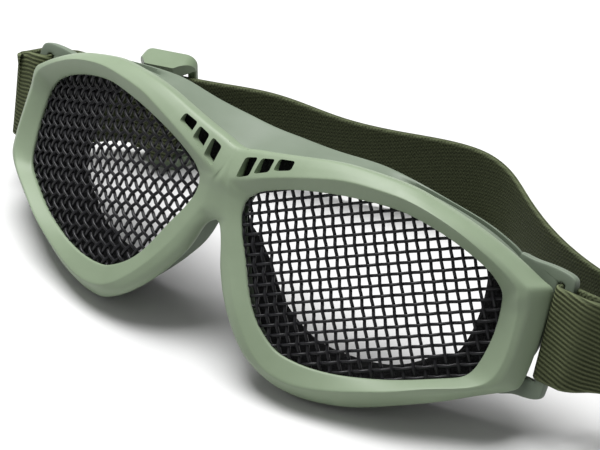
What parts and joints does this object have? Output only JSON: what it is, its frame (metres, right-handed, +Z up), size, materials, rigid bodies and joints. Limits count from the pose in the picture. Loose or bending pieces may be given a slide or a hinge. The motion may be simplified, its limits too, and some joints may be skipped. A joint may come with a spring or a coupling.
{
  "type": "mesh safety goggles",
  "caption": "Ventilated safety goggles with woven steel mesh lenses in a moulded frame, foam face pad and an elastic webbing strap with sliding adjusters.",
  "frame": {"origin": "middle of the base, on the table that the goggles stand on, as the picture shows them", "axes": "+X to the wearer's left, +Y back towards the wearer's face, -Y the way the goggles look, +Z up; the goggles lean back by 28.7 degrees on their lower rim"},
  "size_m": [0.2626, 0.0929, 0.0547],
  "materials": {
    "frame_plastic": "satin",
    "steel_mesh": "satin black",
    "foam": "matt open-cell foam",
    "webbing": "ribbed elastic webbing",
    "slider_plastic": "satin"
  },
  "bodies": {
    "frame": {"front_frame": "frame_plastic", "rear_frame": "frame_plastic", "mesh_lens_left": "steel_mesh", "mesh_lens_right": "steel_mesh", "face_foam": "foam"},
    "strap": {"strap_band": "webbing", "strap_return_left": "webbing", "strap_return_right": "webbing"},
    "slider_left": {"slider_left": "slider_plastic", "strap_hem_left": "webbing"},
    "slider_right": {"slider_right": "slider_plastic", "strap_hem_right": "webbing"}
  },
  "joints": [
    {"name": "strap_tilt", "type": "hinge", "parent": "frame", "child": "strap", "pos_m": [-0.04152, -0.00891, 0.02557], "axis": [1, 0, 0], "range_deg": [0, 3]},
    {"name": "slider_left_slide", "type": "slide", "parent": "strap", "child": "slider_left", "axis": [0.9763, 0.1789, -0.1219], "range_m": [0, 0.03], "deforming": ["strap_return_left"]},
    {"name": "slider_right_slide", "type": "slide", "parent": "strap", "child": "slider_right", "axis": [0.945, 0.327, 0], "range_m": [0, 0.03], "deforming": ["strap_return_right"]}
  ]
}
